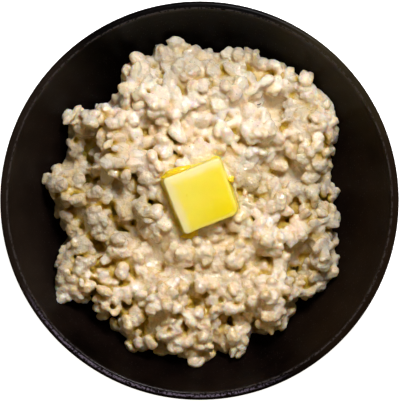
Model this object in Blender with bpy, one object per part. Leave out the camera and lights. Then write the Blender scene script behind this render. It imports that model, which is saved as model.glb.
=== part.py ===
"""A black stoneware bowl of pearl barley porridge with a pat of butter on top.

Metres, +Z up. The origin is the middle of the foot's flat underside, so the bowl stands on z = 0.
Bearings are in degrees, counted from +X towards +Y, seen from above.
"""

import math

import bmesh
import bpy
from mathutils import Matrix, Vector, geometry, noise

MM = 0.001

# Bowl
BOWL_RADIUS = 90 * MM
RIM_TOP = 51.6 * MM
RIM_WIDTH = 3.5 * MM
RIM_INNER_EDGE = 0.5 * MM
RIM_OUTER_EDGE = 1.5 * MM
INSIDE_FLOOR = 9 * MM
INSIDE_FLOOR_RADIUS = 34 * MM
INSIDE_STEEPNESS = 2.7
WALL_AT_FLOOR = 5 * MM
WALL_AT_RIM = 3.6 * MM
FOOT_OUTER_RADIUS = 41 * MM
FOOT_INNER_RADIUS = 34.5 * MM
FOOT_CHAMFER = 0.7 * MM
BOWL_SEGMENTS = 64
INSIDE_RINGS = 10
OUTSIDE_RINGS = 8

# Porridge heap
HEAP_PEAK = 45.0 * MM
HEAP_FALL = 10 * MM
HEAP_FALL_RADIUS = 75 * MM
HEAP_SHOULDER = 14 * MM
HEAP_EDGE_THICKNESS = 5.5 * MM
HEAP_LEAST_DROP = 2.5 * MM
HEAP_UNDERCUT = 4.5 * MM
HEAP_GAP = 0.4 * MM
HEAP_EDGE_POINTS = 120
HEAP_RING_SHARES = (1.0, 0.985, 0.955, 0.91)
HEAP_LATTICE_SHARE = 0.87
HEAP_LATTICE_PITCH = 3.9 * MM
UNDER_EDGE_TURNS = (0.33, 0.67, 1.0)
UNDERSIDE_SHARES = (0.86, 0.72, 0.6, 0.5)
RELIEF_HEIGHT = 1.4 * MM
RELIEF_LENGTH = 9 * MM

# The heap's edge, from one turning point of its outline to the next: bearing, radius.
HEAP_EDGE = (
    (9, 62.0 * MM),
    (22, 67.0 * MM),
    (36, 76.5 * MM),
    (54, 74.0 * MM),
    (66, 71.5 * MM),
    (85, 69.5 * MM),
    (97, 71.0 * MM),
    (119, 72.0 * MM),
    (128, 63.5 * MM),
    (137, 64.0 * MM),
    (147, 72.5 * MM),
    (161, 66.5 * MM),
    (172, 70.5 * MM),
    (182, 63.5 * MM),
    (191, 62.5 * MM),
    (202, 71.5 * MM),
    (213, 77.5 * MM),
    (223, 66.5 * MM),
    (234, 64.0 * MM),
    (245, 70.5 * MM),
    (262, 69.0 * MM),
    (274, 65.0 * MM),
    (285, 72.5 * MM),
    (293, 65.0 * MM),
    (303, 70.5 * MM),
    (312, 62.5 * MM),
    (333, 69.5 * MM),
    (355, 61.0 * MM),
)

# Spoonfuls that stand proud: bearing, distance from the middle, radius, lift.
CLUMPS = (
    (36, 64 * MM, 15 * MM, 4.0 * MM),
    (47, 47 * MM, 11 * MM, 3.0 * MM),
    (71, 53 * MM, 13 * MM, 4.0 * MM),
    (94, 60 * MM, 11 * MM, 2.5 * MM),
    (110, 45 * MM, 14 * MM, 4.5 * MM),
    (120, 63 * MM, 11 * MM, 3.5 * MM),
    (148, 64 * MM, 11 * MM, 4.5 * MM),
    (145, 29 * MM, 13 * MM, 3.5 * MM),
    (160, 46 * MM, 10 * MM, 3.0 * MM),
    (173, 64 * MM, 9 * MM, 3.5 * MM),
    (208, 68 * MM, 12 * MM, 4.0 * MM),
    (211, 44 * MM, 12 * MM, 4.5 * MM),
    (232, 57 * MM, 11 * MM, 3.5 * MM),
    (257, 60 * MM, 12 * MM, 3.5 * MM),
    (286, 66 * MM, 9 * MM, 3.5 * MM),
    (307, 56 * MM, 13 * MM, 4.5 * MM),
    (331, 40 * MM, 11 * MM, 3.0 * MM),
    (351, 56 * MM, 11 * MM, 4.0 * MM),
    (22, 54 * MM, 9 * MM, 3.5 * MM),
)

# Gaps and holes between them: bearing, distance, radius, depth.
HOLLOWS = (
    (154, 57 * MM, 10 * MM, 7.0 * MM),
    (166, 34 * MM, 8 * MM, 5.0 * MM),
    (53, 55 * MM, 8 * MM, 7.0 * MM),
    (68, 43 * MM, 8 * MM, 5.0 * MM),
    (20, 44 * MM, 9 * MM, 5.5 * MM),
    (357, 41 * MM, 8 * MM, 4.5 * MM),
    (191, 58 * MM, 12 * MM, 5.0 * MM),
    (202, 51 * MM, 6 * MM, 6.0 * MM),
    (228, 33 * MM, 9 * MM, 4.0 * MM),
    (222, 62 * MM, 8 * MM, 5.0 * MM),
    (268, 46 * MM, 7 * MM, 4.0 * MM),
    (284, 55 * MM, 7 * MM, 4.5 * MM),
    (328, 54 * MM, 8 * MM, 3.5 * MM),
)

# Butter pat
BUTTER_LENGTH = 26.5 * MM
BUTTER_FAR_WIDTH = 28.4 * MM
BUTTER_NEAR_WIDTH = 26.0 * MM
BUTTER_THICKNESS = 8.5 * MM
BUTTER_FOOT_SPREAD = 0.9 * MM
BUTTER_CORNER = 2.0 * MM
BUTTER_LEAST_CORNER = 0.5 * MM
BUTTER_CORNER_STEPS = 4
BUTTER_EDGE = 1.3 * MM
BUTTER_EDGE_STEPS = 3
BUTTER_PLACE = Vector((0.6 * MM, 3.0 * MM, 43.6 * MM))
BUTTER_TURN = 21.5
BUTTER_LEAN = 4.0
BUTTER_LEAN_TOWARDS = -45
BUTTER_GAP = 0.3 * MM
BUTTER_BED_HEADROOM = 20 * MM

# How the pat's side swells below its middle: share of its thickness, share of BUTTER_FOOT_SPREAD.
BUTTER_SWELL = (
    (0.0, 1.0),
    (0.22, 0.45),
    (0.5, 0.0),
)


def smooth_bump(distance):
    """1 in the middle of a bump and 0 from its edge on, with a smooth side."""
    return (1 - min(distance, 1.0) ** 2) ** 2


def add_material(name, colour, roughness, subsurface):
    material = bpy.data.materials.new(name)
    material.use_nodes = True
    shader = material.node_tree.nodes["Principled BSDF"]
    shader.inputs["Base Color"].default_value = (*colour, 1)
    shader.inputs["Roughness"].default_value = roughness
    shader.inputs["Metallic"].default_value = 0
    shader.inputs["Subsurface Weight"].default_value = subsurface
    return material


def add_object(name, bm, material, sharp_from=40):
    mesh = bpy.data.meshes.new(name)
    bmesh.ops.recalc_face_normals(bm, faces=bm.faces)
    bm.to_mesh(mesh)
    bm.free()
    mesh.materials.append(material)
    mesh.shade_smooth()
    mesh.set_sharp_from_angle(angle=math.radians(sharp_from))
    part = bpy.data.objects.new(name, mesh)
    bpy.context.scene.collection.objects.link(part)
    return part


# The bowl is turned: its inside is a curve over the radius, and its outside follows it at the wall's thickness.


def inside_height(radius):
    """The height of the bowl's inner surface at this distance from the middle."""
    run = BOWL_RADIUS - RIM_WIDTH - INSIDE_FLOOR_RADIUS
    share = max(0.0, (radius - INSIDE_FLOOR_RADIUS) / run)
    return INSIDE_FLOOR + (RIM_TOP - RIM_INNER_EDGE - INSIDE_FLOOR) * share**INSIDE_STEEPNESS


def outside_point(radius):
    """(radius, height) on the outer surface, straight through the wall from this radius on the inside."""
    step = 0.01 * MM
    slope = math.atan2(inside_height(radius + step) - inside_height(radius - step), 2 * step)
    share = radius / (BOWL_RADIUS - RIM_WIDTH)
    wall = WALL_AT_FLOOR + (WALL_AT_RIM - WALL_AT_FLOOR) * share
    return radius + wall * math.sin(slope), inside_height(radius) - wall * math.cos(slope)


def arc(centre, radius, start, end, steps):
    """Points (radius, height) round a centre, from one angle to another in degrees."""
    angles = [math.radians(start + (end - start) * i / steps) for i in range(steps + 1)]
    return [(centre[0] + radius * math.cos(a), centre[1] + radius * math.sin(a)) for a in angles]


def bowl_profile():
    """From the middle of the inside, up the wall, over the rim, down the outside and across the foot."""
    rim_inside = BOWL_RADIUS - RIM_WIDTH
    inside = [(0.0, INSIDE_FLOOR)]
    for i in range(INSIDE_RINGS + 1):
        radius = INSIDE_FLOOR_RADIUS + (rim_inside - INSIDE_FLOOR_RADIUS) * i / INSIDE_RINGS
        inside.append((radius, inside_height(radius)))
    inner_centre = (rim_inside + RIM_INNER_EDGE, RIM_TOP - RIM_INNER_EDGE)
    outer_centre = (BOWL_RADIUS - RIM_OUTER_EDGE, RIM_TOP - RIM_OUTER_EDGE)
    rim = arc(inner_centre, RIM_INNER_EDGE, 180, 90, 2)[1:]
    rim += arc(outer_centre, RIM_OUTER_EDGE, 90, -25, 4)
    foot_side = FOOT_OUTER_RADIUS + FOOT_CHAMFER
    outside = []
    for i in range(OUTSIDE_RINGS):
        share = (i + 0.5) / OUTSIDE_RINGS
        outside.append(outside_point(rim_inside + (foot_side - rim_inside) * share))
    under = INSIDE_FLOOR - WALL_AT_FLOOR
    foot = [
        (FOOT_OUTER_RADIUS, under),
        (FOOT_OUTER_RADIUS, FOOT_CHAMFER),
        (FOOT_OUTER_RADIUS - FOOT_CHAMFER, 0.0),
        (FOOT_INNER_RADIUS + FOOT_CHAMFER, 0.0),
        (FOOT_INNER_RADIUS, FOOT_CHAMFER),
        (FOOT_INNER_RADIUS, under),
        (0.0, under),
    ]
    return inside + rim + outside + foot


def make_bowl(material):
    bm = bmesh.new()
    points = [bm.verts.new((radius, 0, height)) for radius, height in bowl_profile()]
    for start, end in zip(points, points[1:]):
        bm.edges.new((start, end))
    bmesh.ops.spin(
        bm,
        geom=bm.verts[:] + bm.edges[:],
        cent=(0, 0, 0),
        axis=(0, 0, 1),
        angle=math.tau,
        steps=BOWL_SEGMENTS,
        use_merge=True,
    )
    bmesh.ops.remove_doubles(bm, verts=bm.verts, dist=0.01 * MM)
    return add_object("bowl", bm, material)


# The heap is a low dome with an uneven outline, with clumps pushed out of it and hollows pushed in.


def heap_edge_radius(bearing):
    turns = len(HEAP_EDGE)
    for i in range(turns):
        start, first = HEAP_EDGE[i]
        end, last = HEAP_EDGE[(i + 1) % turns]
        share = ((bearing - start) % 360) / ((end - start) % 360)
        if share <= 1:
            return first + (last - first) * (1 - math.cos(math.pi * share)) / 2


def around(bearing, distance):
    """The point on the ground plan at this bearing and distance."""
    return Vector((math.cos(math.radians(bearing)), math.sin(math.radians(bearing)), 0)) * distance


def relief_at(plan):
    """How far the heap's surface stands out of, or lies below, its plain dome here."""
    height = RELIEF_HEIGHT * noise.noise(plan / RELIEF_LENGTH)
    for bearing, distance, radius, lift in CLUMPS:
        height += lift * smooth_bump((plan - around(bearing, distance)).length / radius)
    for bearing, distance, radius, depth in HOLLOWS:
        height -= depth * smooth_bump((plan - around(bearing, distance)).length / radius)
    return height


def lifted_clear(point):
    """The point, moved up where it would be in the bowl's wall."""
    lowest = inside_height(math.hypot(point.x, point.y)) + HEAP_GAP
    return Vector((point.x, point.y, max(point.z, lowest)))


def on_top(plan):
    """The point of the heap's upper surface above this one of the ground plan."""
    distance = plan.length
    edge = heap_edge_radius(math.degrees(math.atan2(plan.y, plan.x)))
    crown = HEAP_PEAK - HEAP_FALL * (distance / HEAP_FALL_RADIUS) ** 2 + relief_at(plan)
    edge_height = min(inside_height(edge) + HEAP_EDGE_THICKNESS, crown - HEAP_LEAST_DROP)
    towards_edge = min(max(1 - (edge - distance) / HEAP_SHOULDER, 0.0), 1.0)
    kept = math.sqrt(1 - towards_edge**2)
    return lifted_clear(plan + Vector((0, 0, edge_height + (crown - edge_height) * kept)))


def heap_plan():
    """Ground plan of the heap's top: rings that follow its edge, the outer one first, and an even lattice."""
    points = []
    for share in HEAP_RING_SHARES:
        for i in range(HEAP_EDGE_POINTS):
            bearing = 360 * i / HEAP_EDGE_POINTS
            points.append(around(bearing, heap_edge_radius(bearing) * share))
    row_height = HEAP_LATTICE_PITCH * math.sqrt(3) / 2
    rows = int(max(radius for _, radius in HEAP_EDGE) / row_height)
    for row in range(-rows, rows + 1):
        for column in range(-rows, rows + 1):
            point = Vector(((column + row % 2 / 2) * HEAP_LATTICE_PITCH, row * row_height, 0))
            edge = heap_edge_radius(math.degrees(math.atan2(point.y, point.x)))
            if point.length < edge * HEAP_LATTICE_SHARE:
                points.append(point)
    return points


def under_edge_point(edge, turn):
    """Below a point of the heap's edge: turn is 0 at the edge itself and 1 where the heap meets the bowl."""
    bearing = math.degrees(math.atan2(edge.y, edge.x))
    foot_radius = math.hypot(edge.x, edge.y) - HEAP_UNDERCUT
    foot_height = inside_height(foot_radius) + HEAP_GAP
    angle = turn * math.pi / 2
    radius = foot_radius + HEAP_UNDERCUT * math.cos(angle)
    height = foot_height + (edge.z - foot_height) * (1 - math.sin(angle))
    return lifted_clear(around(bearing, radius) + Vector((0, 0, height)))


def underside_point(edge, share):
    """Under the heap, on the bowl: share is 1 where the heap's edge meets the bowl and 0 in the middle."""
    plan = Vector((edge.x, edge.y, 0))
    return lifted_clear(plan.normalized() * (plan.length - HEAP_UNDERCUT) * share)


def bridge_to(bm, ring, places):
    """Joins a closed ring of vertices to a new one at these places, and returns the new ring."""
    made = [bm.verts.new(place) for place in places]
    for i, vertex in enumerate(ring):
        after = (i + 1) % len(ring)
        bm.faces.new((vertex, made[i], made[after], ring[after]))
    return made


def make_porridge(material):
    plan = [point.to_2d() for point in heap_plan()]
    outline = [(i, (i + 1) % HEAP_EDGE_POINTS) for i in range(HEAP_EDGE_POINTS)]
    keep_inside = 1
    places, _, triangles, *_ = geometry.delaunay_2d_cdt(plan, outline, [], keep_inside, 0.001 * MM)
    bm = bmesh.new()
    tops = [bm.verts.new(on_top(place.to_3d())) for place in places]
    for triangle in triangles:
        bm.faces.new([tops[i] for i in triangle])
    ring = [vertex for vertex in bm.verts if vertex.is_boundary]
    ring.sort(key=lambda vertex: math.atan2(vertex.co.y, vertex.co.x))
    edge = [vertex.co.copy() for vertex in ring]
    for turn in UNDER_EDGE_TURNS:
        ring = bridge_to(bm, ring, [under_edge_point(point, turn) for point in edge])
    for share in UNDERSIDE_SHARES:
        ring = bridge_to(bm, ring, [underside_point(point, share) for point in edge])
    bm.faces.new(ring)
    return add_object("porridge_heap", bm, material, sharp_from=60)


# The butter is a cut pat with rounded corners, wider at its foot where it has softened.


def butter_ring(inset, height):
    """Points round the pat at this height, this far inside its plain sides."""
    corner = max(BUTTER_CORNER - inset, BUTTER_LEAST_CORNER)
    points = []
    for quarter, (side_x, side_y) in enumerate(((1, 1), (-1, 1), (-1, -1), (1, -1))):
        width = BUTTER_FAR_WIDTH if side_y > 0 else BUTTER_NEAR_WIDTH
        centre_x = side_x * (width / 2 - inset - corner)
        centre_y = side_y * (BUTTER_LENGTH / 2 - inset - corner)
        for x, y in arc((centre_x, centre_y), corner, 90 * quarter, 90 * quarter + 90, BUTTER_CORNER_STEPS):
            points.append(Vector((x, y, height)))
    return points


def butter_block(grown, height):
    """The pat as a mesh, larger on every side by grown, with its plain side this high above its foot."""
    bm = bmesh.new()
    layers = [(-BUTTER_FOOT_SPREAD * spread, height * share) for share, spread in BUTTER_SWELL]
    for step in range(BUTTER_EDGE_STEPS + 1):
        angle = math.radians(90 * step / BUTTER_EDGE_STEPS)
        inset = BUTTER_EDGE * (1 - math.cos(angle))
        layers.append((inset, height - BUTTER_EDGE * (1 - math.sin(angle))))
    first = [bm.verts.new(point) for point in butter_ring(layers[0][0] - grown, -grown)]
    ring = first
    for inset, level in layers[1:]:
        ring = bridge_to(bm, ring, butter_ring(inset - grown, level))
    bm.faces.new(first)
    bm.faces.new(ring)
    return bm


def lay_on_heap(part):
    towards = around(BUTTER_LEAN_TOWARDS, 1)
    lean = Matrix.Rotation(math.radians(BUTTER_LEAN), 4, Vector((0, 0, 1)).cross(towards))
    turn = Matrix.Rotation(math.radians(BUTTER_TURN), 4, "Z")
    part.location = BUTTER_PLACE
    part.rotation_euler = (lean @ turn).to_euler()


def make_butter(material):
    lay_on_heap(add_object("butter_pat", butter_block(0.0, BUTTER_THICKNESS), material))


def press_butter_into(heap, material):
    """Cuts the pat's bed out of the heap, with a hair of room round it."""
    block = butter_block(BUTTER_GAP, BUTTER_THICKNESS + BUTTER_BED_HEADROOM)
    cutter = add_object("butter_bed_cutter", block, material)
    lay_on_heap(cutter)
    cutter.hide_render = True
    cutter.display_type = "WIRE"
    bed = heap.modifiers.new("butter bed", "BOOLEAN")
    bed.operation = "DIFFERENCE"
    bed.object = cutter


def main():
    for existing in list(bpy.data.objects):
        bpy.data.objects.remove(existing)
    make_bowl(add_material("black stoneware", (0.012, 0.009, 0.007), roughness=0.42, subsurface=0.0))
    heap = make_porridge(add_material("cooked barley", (0.80, 0.66, 0.44), roughness=0.45, subsurface=0.3))
    butter = add_material("butter", (0.98, 0.78, 0.10), roughness=0.35, subsurface=0.3)
    make_butter(butter)
    press_butter_into(heap, butter)


main()
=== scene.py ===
import math

import bmesh
import bpy
import numpy as np
from mathutils import Matrix, Vector
from mathutils.bvhtree import BVHTree
from mathutils.kdtree import KDTree


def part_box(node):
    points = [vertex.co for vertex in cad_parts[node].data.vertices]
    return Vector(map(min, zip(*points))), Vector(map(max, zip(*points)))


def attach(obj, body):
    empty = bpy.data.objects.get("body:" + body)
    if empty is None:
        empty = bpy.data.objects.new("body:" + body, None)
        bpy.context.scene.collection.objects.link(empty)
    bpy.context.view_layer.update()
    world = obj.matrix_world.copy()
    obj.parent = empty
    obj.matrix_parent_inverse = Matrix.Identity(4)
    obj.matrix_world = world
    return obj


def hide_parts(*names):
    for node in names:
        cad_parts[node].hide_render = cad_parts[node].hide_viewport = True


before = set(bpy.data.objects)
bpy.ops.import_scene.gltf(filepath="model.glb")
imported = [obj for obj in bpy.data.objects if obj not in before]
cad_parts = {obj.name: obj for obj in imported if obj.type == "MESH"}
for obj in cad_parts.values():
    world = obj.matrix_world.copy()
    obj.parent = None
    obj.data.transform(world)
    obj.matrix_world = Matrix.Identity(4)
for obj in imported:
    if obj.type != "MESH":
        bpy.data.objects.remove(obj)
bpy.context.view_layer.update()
mm = 0.001
seeded = np.random.default_rng


# Small tools that several pieces use.
cellFactors = np.array((73856093, 19349663, 83492791))  # primes that scatter the cells


def cellsOf(places):
    # each place's unit cell, and where in it the place is
    cells = np.floor(places).astype(np.int64)
    return cells, places - cells


def cellNumbers(cells):
    return np.bitwise_xor.reduce(cells * cellFactors, axis=1)


def shuffled(numbers):
    # the next random-looking numbers, and each as a value from 0 to 1
    numbers = (numbers ^ (numbers >> 13)) * 1274126177 & 0xFFFFFFFF
    return numbers, ((numbers ^ (numbers >> 16)) & 0xFFFF) / 65535


def softNoise(points, size, seed):
    # smooth random values from -1 to 1 that change over about this distance
    cell, part = cellsOf(points / size + seed * 17.31)
    part = part * part * (3 - 2 * part)
    total = np.zeros(len(points))
    for corner in np.ndindex(2, 2, 2):
        value = 2 * shuffled(cellNumbers(cell + corner))[1] - 1
        total += value * np.where(corner, part, 1 - part).prod(axis=1)
    return total


def wander(points, size, *seeds):
    return np.stack([softNoise(points, size, seed) for seed in seeds], 1)


def curds(points, size, seed):
    # little domes from 1 in their middles to 0 in the sharp creases between them
    spread = points / size + seed * 7.77
    cell, _ = cellsOf(spread)
    nearest = np.full(len(points), 9.0)
    for step in np.ndindex(3, 3, 3):
        at = cell + step - 1
        numbers = cellNumbers(at)
        away = np.zeros(len(points))
        for axis in range(3):
            numbers, value = shuffled(numbers)
            away += (at[:, axis] + value - spread[:, axis]) ** 2
        nearest = np.minimum(nearest, away)
    return 1 - np.clip(nearest / 0.8, 0, 1)


def heading(bearing):
    angle = math.radians(bearing)
    return math.cos(angle), math.sin(angle)


def ease(low, high, values):
    share = np.clip((values - low) / (high - low), 0, 1)
    return share * share * (3 - 2 * share)


def lengths(vectors):
    return np.linalg.norm(vectors, axis=-1)


def unit(vectors):
    return vectors / lengths(vectors)[:, None]


def treeOf(points):
    tree = KDTree(len(points))
    for i, point in enumerate(points):
        tree.insert(point, i)
    tree.balance()
    return tree


def joined(shapes, faces):
    # equal shapes as one mesh: points, faces and the shape that each point belongs to
    corners = [faces + i * len(shapes[0]) for i in range(len(shapes))]
    return np.concatenate(shapes), np.concatenate(corners), np.arange(len(shapes)).repeat(len(shapes[0]))


def ringFaces(rings, count):
    # quads between rings of points that follow each other
    faces = []
    for start in range(0, (rings - 1) * count, count):
        for i in range(count):
            a, b = start + i, start + (i + 1) % count
            faces.append((a, b, b + count, a + count))
    return faces


def posed(points, pose):
    matrix = np.array(pose)
    return points @ matrix[:3, :3].T + matrix[:3, 3]


def meshPiece(name, points, faces):
    mesh = bpy.data.meshes.new(name)
    mesh.from_pydata(points.tolist(), [], faces if isinstance(faces, list) else faces.tolist())
    mesh.update()
    mesh.shade_smooth()
    piece = bpy.data.objects.new(name, mesh)
    bpy.context.scene.collection.objects.link(piece)
    return piece


def listed(items, name, width, kind=np.float32):
    flat = np.empty(len(items) * width, kind)
    items.foreach_get(name, flat)
    return flat.reshape(-1, width)


def pointsOf(mesh):
    return listed(mesh.vertices, "co", 3).astype(float)


def normalsOf(mesh):
    return listed(mesh.vertex_normals, "vector", 3).astype(float)


def edgesOf(mesh):
    return listed(mesh.edges, "vertices", 2, np.int32)


def movePoints(mesh, points):
    mesh.vertices.foreach_set("co", points.astype(np.float32).ravel())
    mesh.update()


def neighbourMean(values, edges):
    # the mean of each point's neighbours along the edges
    (a, b), count = edges.T, len(values)
    number = np.maximum(np.bincount(edges.ravel(), minlength=count), 1)
    totals = [np.bincount(a, column[b], count) + np.bincount(b, column[a], count) for column in values.T]
    return np.stack(totals, axis=1) / number[:, None]


def storeShades(mesh, shades):
    layer = mesh.color_attributes.new("shades", "FLOAT_COLOR", "POINT")
    layer.data.foreach_set("color", np.clip(shades, 0, 1).astype(np.float32).ravel())


def withModifiers(piece):
    # the piece's mesh as its modifiers leave it, without them
    evaluated = piece.evaluated_get(bpy.context.evaluated_depsgraph_get())
    mesh = bpy.data.meshes.new_from_object(evaluated)
    piece.modifiers.clear()
    piece.data = mesh
    mesh.shade_smooth()
    return mesh


def dress(piece, material, slot, *replaced):
    piece.data.materials.clear()
    piece.data.materials.append(material)
    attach(piece, "root")
    if replaced:
        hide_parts(*replaced)


# Shader nodes: small steps, then the groups that more than one material uses.

def setInputs(node, inputs):
    # sockets are linked to the node's inputs, and other values are set on them
    for key, value in inputs.items():
        if isinstance(value, bpy.types.NodeSocket):
            node.id_data.links.new(value, node.inputs[key])
        else:
            node.inputs[key].default_value = value


def addNode(tree, kind, inputs=None, **settings):
    node = tree.nodes.new(kind)
    for key, value in settings.items():
        setattr(node, key, value)
    setInputs(node, inputs or {})
    return node


def ramp(source, low, high):
    # 0 below low and 1 above high
    inputs = {"Value": source, "From Min": low, "From Max": high}
    node = addNode(source.id_data, "ShaderNodeMapRange", inputs, interpolation_type="SMOOTHSTEP")
    return node.outputs["Result"]


def maths(operation, *terms):
    tree = next(term.id_data for term in terms if isinstance(term, bpy.types.NodeSocket))
    return addNode(tree, "ShaderNodeMath", dict(enumerate(terms)), operation=operation).outputs[0]


def times(product, *terms):
    for term in terms:
        product = maths("MULTIPLY", product, term)
    return product


def spanned(source, factor, offset):
    return maths("MULTIPLY_ADD", source, factor, offset)


def inverted(source):
    return maths("SUBTRACT", 1.0, source)


def mixColour(share, *paints):
    first, second = [(*paint, 1) if isinstance(paint, tuple) else paint for paint in paints]
    inputs = {0: share, 6: first, 7: second}
    return addNode(share.id_data, "ShaderNodeMix", inputs, data_type="RGBA").outputs[2]


def noiseIn(where, scale, detail=2.0, roughness=0.5):
    inputs = {"Vector": where, "Scale": scale, "Detail": detail, "Roughness": roughness}
    return addNode(where.id_data, "ShaderNodeTexNoise", inputs).outputs["Fac"]


def shadesIn(tree):
    # the four shades that storeShades keeps on a mesh
    stored = addNode(tree, "ShaderNodeVertexColor", layer_name="shades").outputs
    split = addNode(tree, "ShaderNodeSeparateColor", {"Color": stored["Color"]})
    return (*split.outputs, stored["Alpha"])


def newGroup(name, *labels):
    # a group that turns a place and some numbers into a mask
    group = bpy.data.node_groups.new(name, "ShaderNodeTree")
    group.interface.new_socket("Place", in_out="INPUT", socket_type="NodeSocketVector")
    for label in labels:
        group.interface.new_socket(label, in_out="INPUT", socket_type="NodeSocketFloat")
    group.interface.new_socket("Mask", in_out="OUTPUT", socket_type="NodeSocketFloat")
    given = addNode(group, "NodeGroupInput").outputs
    return group, given, addNode(group, "NodeGroupOutput").inputs["Mask"]


# Speckle: small scattered spots, for bran in the porridge and grit in the glaze.
def makeSpeckleGroup():
    group, given, mask = newGroup("speckle", "Spots per Metre", "Spot Size", "Coverage")
    inputs = {"Vector": given["Place"], "Scale": given["Spots per Metre"], "Randomness": 1.0}
    cells = addNode(group, "ShaderNodeTexVoronoi", inputs).outputs
    chance = addNode(group, "ShaderNodeSeparateColor", {"Color": cells["Color"]}).outputs[0]
    near = maths("LESS_THAN", cells["Distance"], given["Spot Size"])
    group.links.new(times(near, maths("LESS_THAN", chance, given["Coverage"])), mask)
    return group


# Mottle: soft cloudy variation from 0 to 1.
def makeMottleGroup():
    group, given, mask = newGroup("mottle", "Scale", "Contrast")
    inputs = {"Vector": given["Place"], "Scale": given["Scale"], "Detail": 3.0, "Roughness": 0.6}
    noise = addNode(group, "ShaderNodeTexNoise", inputs).outputs["Fac"]
    cloud = times(maths("SUBTRACT", noise, 0.5), given["Contrast"])
    raised = addNode(group, "ShaderNodeMath", {0: cloud, 1: 0.5}, operation="ADD", use_clamp=True)
    group.links.new(raised.outputs[0], mask)
    return group


speckleGroup = makeSpeckleGroup()
mottleGroup = makeMottleGroup()


def useGroup(group, where, inputs):
    inputs["Place"] = where
    return addNode(where.id_data, "ShaderNodeGroup", inputs, node_tree=group).outputs["Mask"]


def speckle(where, number, size, coverage):
    inputs = {"Spots per Metre": number, "Spot Size": size, "Coverage": coverage}
    return useGroup(speckleGroup, where, inputs)


def mottle(where, scale, contrast):
    return useGroup(mottleGroup, where, {"Scale": scale, "Contrast": contrast})


def newMaterial(name):
    # a material, its shader and the place on the piece that patterns follow
    material = bpy.data.materials.new(name)
    material.use_nodes = True
    tree = material.node_tree
    where = addNode(tree, "ShaderNodeTexCoord").outputs["Object"]
    return material, tree.nodes["Principled BSDF"], where


def bumpInto(shader, height, distance):
    inputs = {"Strength": 1.0, "Distance": distance, "Height": height}
    bump = addNode(shader.id_data, "ShaderNodeBump", inputs)
    setInputs(shader, {"Normal": bump.outputs["Normal"]})


def letLightIn(shader, weight, radius, scale, ior):
    inputs = {"Subsurface Weight": weight, "Subsurface Radius": radius, "Subsurface Scale": scale}
    setInputs(shader, inputs | {"IOR": ior})


def cloudMaterial(name, look):
    # two colours in soft clouds, which the roughness and the relief follow
    material, shader, where = newMaterial(name)
    cloud = mottle(where, look["clouds"], 2.5)
    setInputs(shader, {
        "Base Color": mixColour(cloud, look["colour"], look["thin"]),
        "Roughness": spanned(cloud, *look["roughness"]),
    })
    bumpInto(shader, cloud, look["relief"])
    return material, shader


# Bowl: turned black stoneware on a foot ring.
bowl = {
    "rimWidth": 3.5 * mm,
    "rimInnerEdge": 0.5 * mm,
    "rimOuterEdge": 1.5 * mm,
    "insideFloor": 9 * mm,
    "floorRadius": 34 * mm,
    "steepness": 2.7,  # power of the wall's curve
    "wallAtFloor": 5 * mm,
    "wallAtRim": 3.6 * mm,
    "footOuter": 41 * mm,
    "footInner": 34.5 * mm,
    "footEdge": 0.7 * mm,
    "turns": 180,
    "throwingRings": 0.07 * mm,
    "throwingPitch": 6.5 * mm,
    "glazeDark": (0.0012, 0.0006, 0.0005),
    "glazeWarm": (0.0070, 0.0038, 0.0028),
    "clay": (0.035, 0.026, 0.02),
    "grit": (0.055, 0.046, 0.045),
    "gritSpots": (1100.0, 0.22, 0.2),  # per metre, size and share
    # painted highlight: lilac grey on the rim, across from the key light
    "paintedRimHighlight": (0.165, 0.135, 0.19),
    "paintedRimHighlightSide": 252.0,
    "relief": 0.06 * mm,
    "paintedSheenAndShade": {  # painted sheens and painted shade on the wall: colour, bearing, width and how near its bearing each keeps
        "paintedShadeBlack": ((0.0004, 0.0003, 0.0002), 98.0, 40 * mm, 0.5),
        "umber": ((0.014, 0.0078, 0.0038), 348.0, 36 * mm, 0.6),
        "brown": ((0.016, 0.0105, 0.0072), 175.0, 24 * mm, 0.6),
        "olive": ((0.026, 0.019, 0.0075), 42.0, 16 * mm, 0.86),
    },
}
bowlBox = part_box("bowl")
bowl["radius"] = bowlBox[1].x
rimTop = bowlBox[1].z
rimInside = bowl["radius"] - bowl["rimWidth"]


def wallHeight(radius):
    # the height of the bowl's inner surface at this distance from the middle
    share = np.maximum(0.0, (radius - bowl["floorRadius"]) / (rimInside - bowl["floorRadius"]))
    rise = rimTop - bowl["rimInnerEdge"] - bowl["insideFloor"]
    return bowl["insideFloor"] + rise * share ** bowl["steepness"]


def outerPoint(radius):
    step = 0.01 * mm
    slope = math.atan2(wallHeight(radius + step) - wallHeight(radius - step), 2 * step)
    wall = bowl["wallAtFloor"] + (bowl["wallAtRim"] - bowl["wallAtFloor"]) * (radius / rimInside)
    return radius + wall * math.sin(slope), wallHeight(radius) - wall * math.cos(slope)


def arcPoints(centre, radius, start, end, steps):
    angles = np.radians(np.linspace(start, end, steps + 1))
    return [(centre[0] + radius * math.cos(a), centre[1] + radius * math.sin(a)) for a in angles]


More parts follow.
